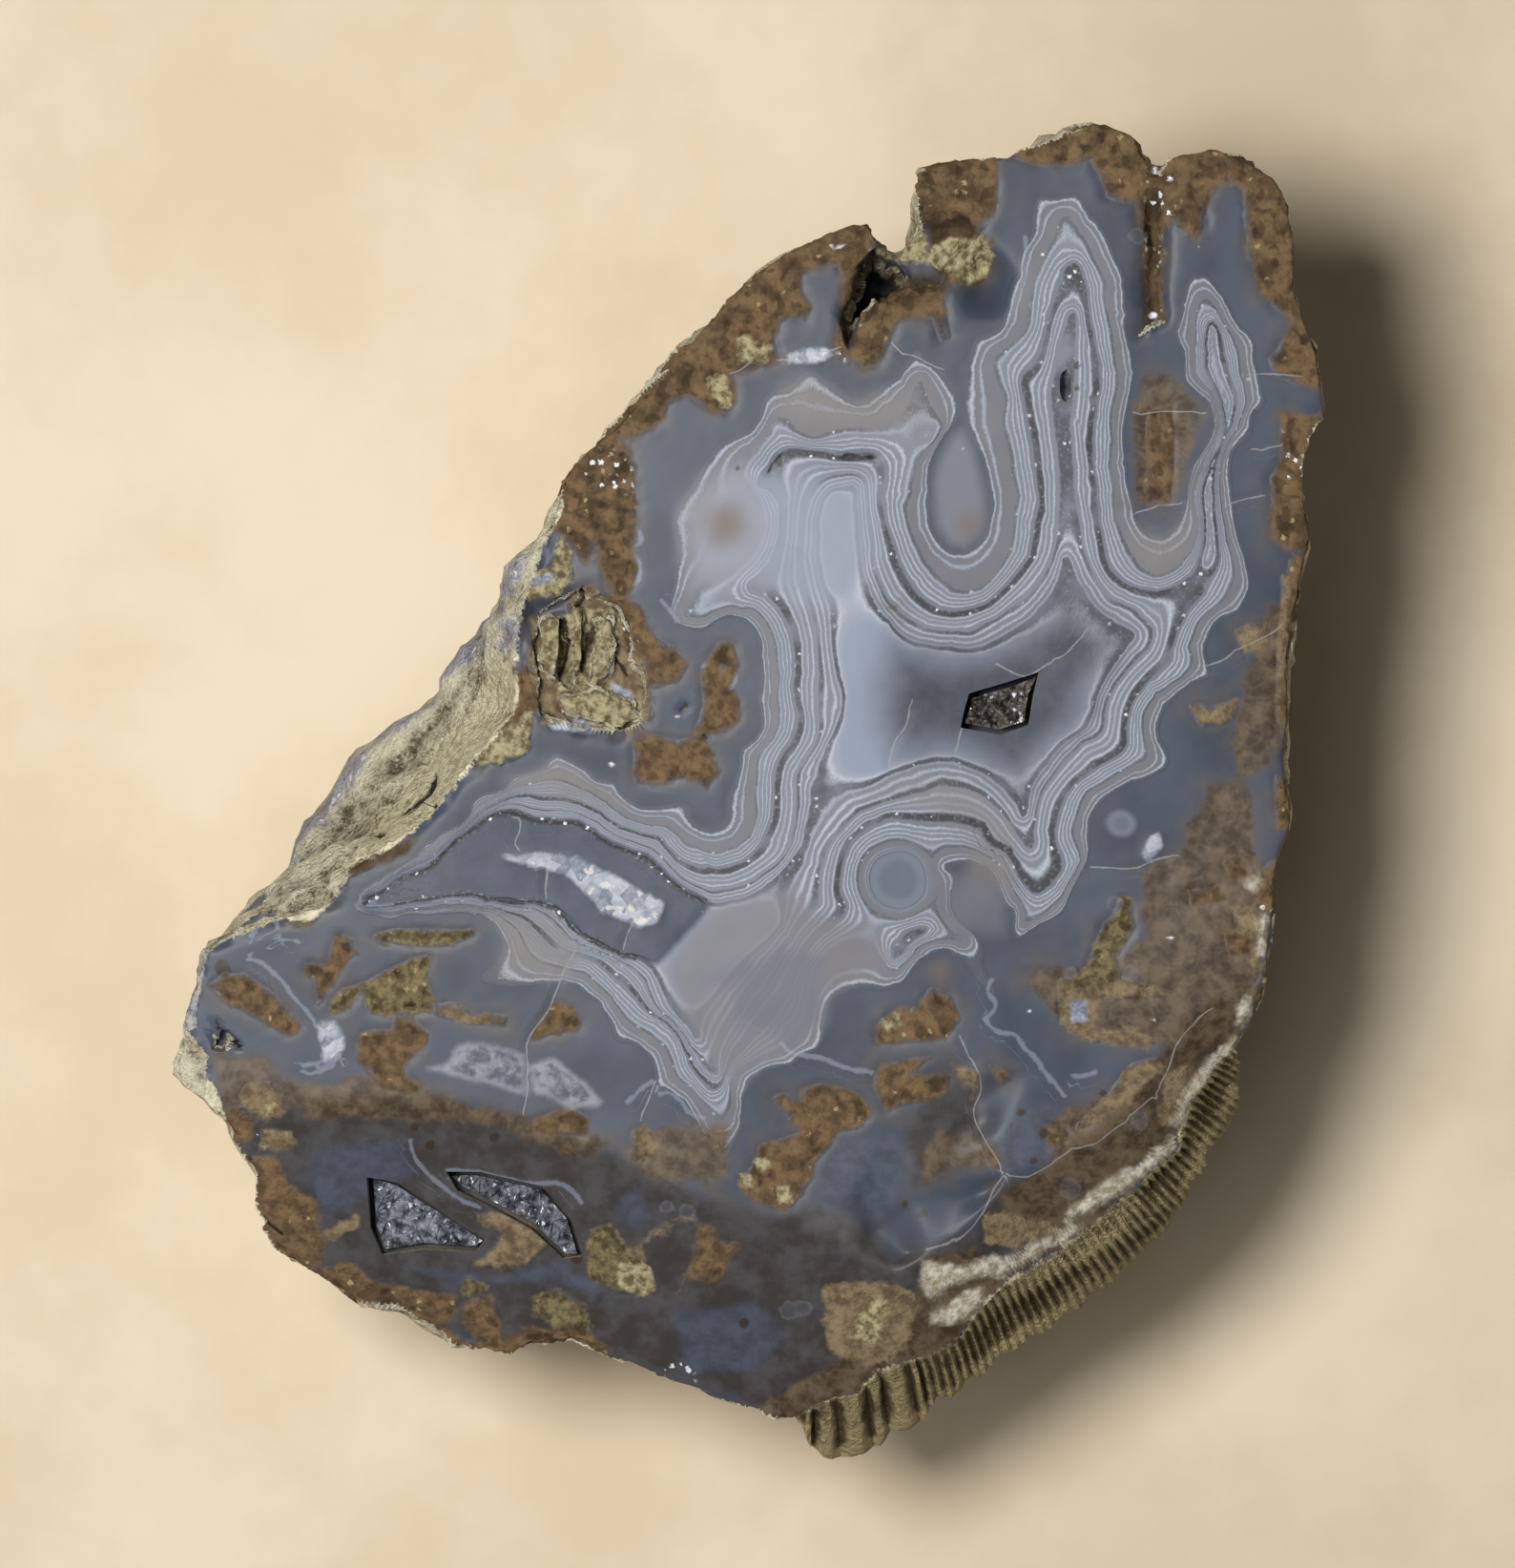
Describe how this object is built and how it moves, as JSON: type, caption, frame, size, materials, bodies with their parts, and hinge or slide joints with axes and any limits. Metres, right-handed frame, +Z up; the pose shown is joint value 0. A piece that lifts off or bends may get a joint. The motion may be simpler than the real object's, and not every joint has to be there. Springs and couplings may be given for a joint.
{
  "type": "kentucky agate half nodule",
  "caption": "Broken half of a banded blue-grey agate nodule with a rough olive rind, a ribbed side and small crystal-lined hollows, lying banded face up",
  "frame": {"origin": "middle of the bounding box, on the surface that the stone rests on", "axes": "+Z up out of the banded face, +Y along the stone towards its narrow end, +X towards its straighter long side"},
  "size_m": [0.081, 0.0945, 0.0392],
  "materials": {
    "chalcedony": "broken chalcedony face, waxy, with a rough rind",
    "dark_quartz": "glittering brown quartz points",
    "grey_quartz": "glittering grey quartz points"
  },
  "bodies": {
    "root": {"agate_nodule": "chalcedony", "vug_crystals": "dark_quartz", "lower_druse_crystals": "grey_quartz", "upper_druse_crystals": "grey_quartz"}
  },
  "joints": []
}
